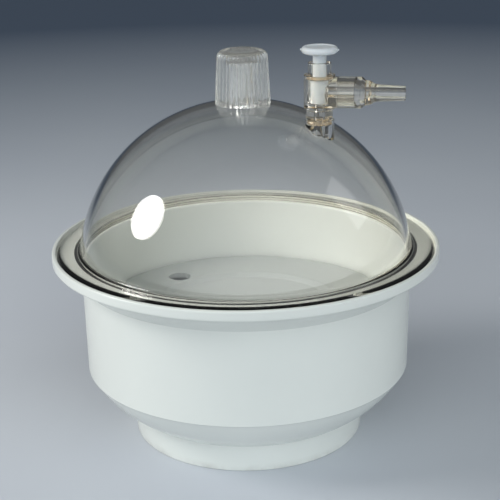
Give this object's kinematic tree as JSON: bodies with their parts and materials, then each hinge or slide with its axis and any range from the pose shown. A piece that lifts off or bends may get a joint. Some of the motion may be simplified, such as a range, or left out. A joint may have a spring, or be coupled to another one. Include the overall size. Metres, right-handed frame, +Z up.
{
  "type": "vacuum desiccator",
  "caption": "Vacuum desiccator with a white bowl, loose perforated plate, seal ring and clear domed lid with a fluted knob and a plug valve with hose nozzle.",
  "frame": {"origin": "on the bench surface, under the middle of the foot ring", "axes": "+Z up along the bowl's axis; +X towards the valve; the valve's arm points 17 degrees from +X towards +Y"},
  "size_m": [0.285, 0.285, 0.2932],
  "materials": {
    "bowl": "smooth moulded, slightly warm white",
    "plate": "satin moulded white",
    "rim_rubber": "satin black",
    "dome_clear": "clear, polished, even wall of 3.5 mm",
    "knob_clear": "clear, fluted",
    "valve_clear": "clear, polished, faint warm tint",
    "small_seal": "translucent amber silicone",
    "plug_white": "translucent natural white"
  },
  "bodies": {
    "base": {"base_bowl": "bowl", "rim_seal": "rim_rubber"},
    "plate": {"support_plate": "plate"},
    "lid": {"dome": "dome_clear", "lid_knob": "knob_clear", "boss_seal": "small_seal"},
    "valve": {"valve_body": "valve_clear", "gland_bush": "valve_clear", "gland_seal": "small_seal", "hose_nozzle": "valve_clear"},
    "key": {"valve_plug": "plug_white", "valve_handle": "plug_white"}
  },
  "joints": [
    {"name": "lid_lift", "type": "slide", "parent": "base", "child": "lid", "axis": [0, 0, 1], "range_m": [0, 0.15]},
    {"name": "plate_lift", "type": "slide", "parent": "base", "child": "plate", "axis": [0, 0, 1], "range_m": [0, 0.045]},
    {"name": "valve_swivel", "type": "hinge", "parent": "lid", "child": "valve", "pos_m": [0.0596, 0, 0.2424], "axis": [0, 0, 1], "range_deg": [-160, 125]},
    {"name": "key_turn", "type": "hinge", "parent": "valve", "child": "key", "pos_m": [0.0596, 0, 0.2614], "axis": [0, 0, 1], "range_deg": [0, 90]}
  ]
}
